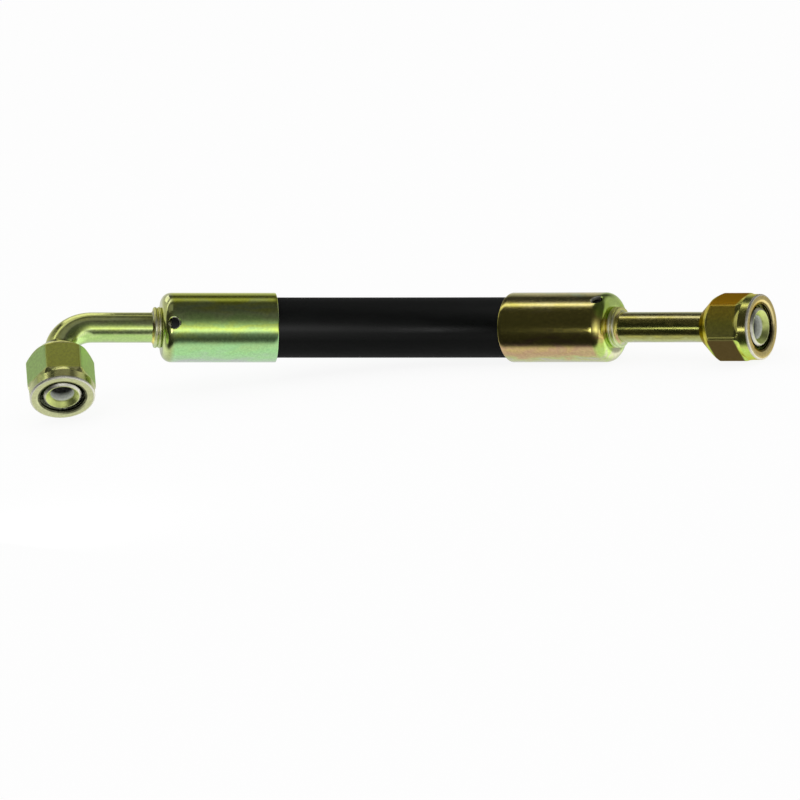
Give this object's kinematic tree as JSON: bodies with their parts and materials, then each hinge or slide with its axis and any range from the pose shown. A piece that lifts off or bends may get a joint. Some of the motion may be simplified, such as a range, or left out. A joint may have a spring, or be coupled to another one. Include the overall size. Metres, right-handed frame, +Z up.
{
  "type": "hydraulic hose assembly",
  "caption": "Short rubber hose with plated steel end fittings, an elbow and a straight one, whose hexagon swivel nuts turn on flared tubes to join fluid lines.",
  "frame": {"origin": "on the plane that the part rests on, under the middle of its bounding box", "axes": "+X along the chord of the hose from the elbow end to the straight end, +Z up"},
  "size_m": [0.237, 0.0638, 0.0318],
  "materials": {
    "yellow_plated_steel": "zinc plated with an iridescent yellow passivation",
    "hose_cover_rubber": "smooth satin black",
    "hose_inner_rubber": "matt",
    "barrier_nylon": "natural",
    "braid_yarn": "braided polyester yarn",
    "braze_metal": "plated over"
  },
  "bodies": {
    "hose_and_tubes": {"hose_inner_tube": "hose_inner_rubber", "hose_barrier": "barrier_nylon", "hose_friction_layer": "hose_inner_rubber", "hose_braid": "braid_yarn", "hose_cover": "hose_cover_rubber", "elbow_ferrule": "yellow_plated_steel", "elbow_nipple": "yellow_plated_steel", "elbow_tube": "yellow_plated_steel", "elbow_braze_ring": "braze_metal", "straight_ferrule": "yellow_plated_steel", "straight_nipple": "yellow_plated_steel", "straight_tube": "yellow_plated_steel", "straight_braze_ring": "braze_metal"},
    "elbow_nut": {"elbow_swivel_nut": "yellow_plated_steel"},
    "straight_nut": {"straight_swivel_nut": "yellow_plated_steel"}
  },
  "joints": [
    {"name": "elbow_nut_turn", "type": "hinge", "parent": "hose_and_tubes", "child": "elbow_nut", "pos_m": [-0.10611, -0.02527, 0.00783], "axis": [0.1458, -0.7592, -0.6343], "continuous": true},
    {"name": "straight_nut_turn", "type": "hinge", "parent": "hose_and_tubes", "child": "straight_nut", "pos_m": [0.11537, -0.00943, 0.01095], "axis": [0.9554, -0.2953, 0], "continuous": true}
  ]
}
